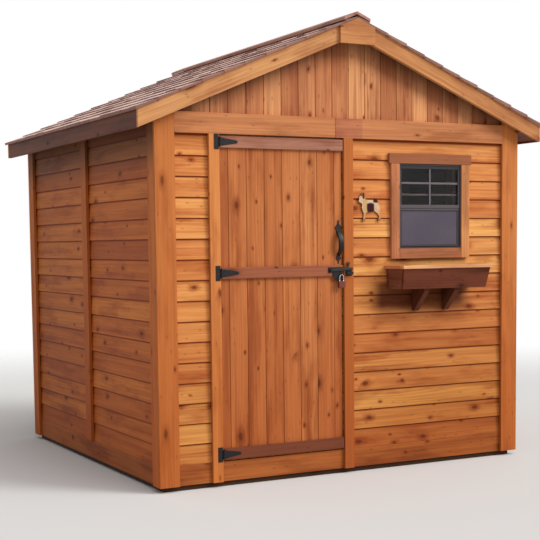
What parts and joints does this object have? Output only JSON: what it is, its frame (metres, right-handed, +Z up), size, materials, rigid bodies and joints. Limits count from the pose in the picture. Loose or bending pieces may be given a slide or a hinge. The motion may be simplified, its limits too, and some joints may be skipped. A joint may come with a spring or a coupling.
{
  "type": "wooden garden shed",
  "caption": "Gable-roofed garden shed of lapped cedar boards with a ledged plank door, a latch and padlock, a hung sash window and a flower box.",
  "frame": {"origin": "on the ground, under the middle of the shed's walls", "axes": "+Z up, +X to the right seen from the front, the front wall with its door and window faces -Y"},
  "size_m": [2.7614, 2.584, 2.6917],
  "materials": {
    "cedar_cladding": "oiled, knotty",
    "cedar_trim": "oiled",
    "framing_timber": "planed",
    "cedar_shingle": "sawn, weathered",
    "stained_timber": "dark stain",
    "black_iron": "black satin",
    "grey_frame": "satin",
    "window_glass": "clear",
    "lock_metal": "worn",
    "painted_tin": "matt paint"
  },
  "bodies": {
    "shed": {"back_cladding": "cedar_cladding", "front_cladding": "cedar_cladding", "window_cladding": "cedar_cladding", "side_cladding": "cedar_cladding", "gable_walls": "cedar_cladding", "belly_bands": "cedar_trim", "corner_boards": "cedar_trim", "side_corner_boards": "cedar_trim", "wall_battens": "cedar_trim", "door_jambs": "cedar_trim", "skirts": "cedar_trim", "rake_fascias": "cedar_trim", "eave_fascias": "cedar_trim", "eave_soffits": "cedar_trim", "peak_plates": "cedar_trim", "window_trim": "cedar_trim", "ridge_cap": "cedar_trim", "floor_rims": "framing_timber", "floor_joists": "framing_timber", "floor_deck": "framing_timber", "wall_plates": "framing_timber", "wall_studs": "framing_timber", "wall_headers": "framing_timber", "rafters": "framing_timber", "ridge_board": "framing_timber", "roof_deck": "framing_timber", "shingles": "cedar_shingle", "planter_sides": "stained_timber", "planter_ends": "stained_timber", "planter_floor": "stained_timber", "planter_rim": "stained_timber", "planter_brackets": "stained_timber", "hinge_leaves": "black_iron", "latch_catch": "black_iron", "window_frame": "grey_frame", "window_sashes": "grey_frame", "window_glass": "window_glass", "dog_ornament": "painted_tin"},
    "door": {"door_boards": "cedar_cladding", "door_battens": "cedar_trim", "hinge_straps": "black_iron", "pull_handle": "black_iron", "latch_plate": "black_iron", "padlock": "lock_metal"},
    "latch": {"latch_bar": "black_iron"}
  },
  "joints": [
    {"name": "door_swing", "type": "hinge", "parent": "shed", "child": "door", "pos_m": [-0.8475, -1.16, 1.06], "axis": [0, 0, -1], "range_deg": [0, 170]},
    {"name": "latch_lift", "type": "hinge", "parent": "door", "child": "latch", "pos_m": [-0.142, -1.164, 1.212], "axis": [0, -1, 0], "range_deg": [-7, 18]}
  ]
}
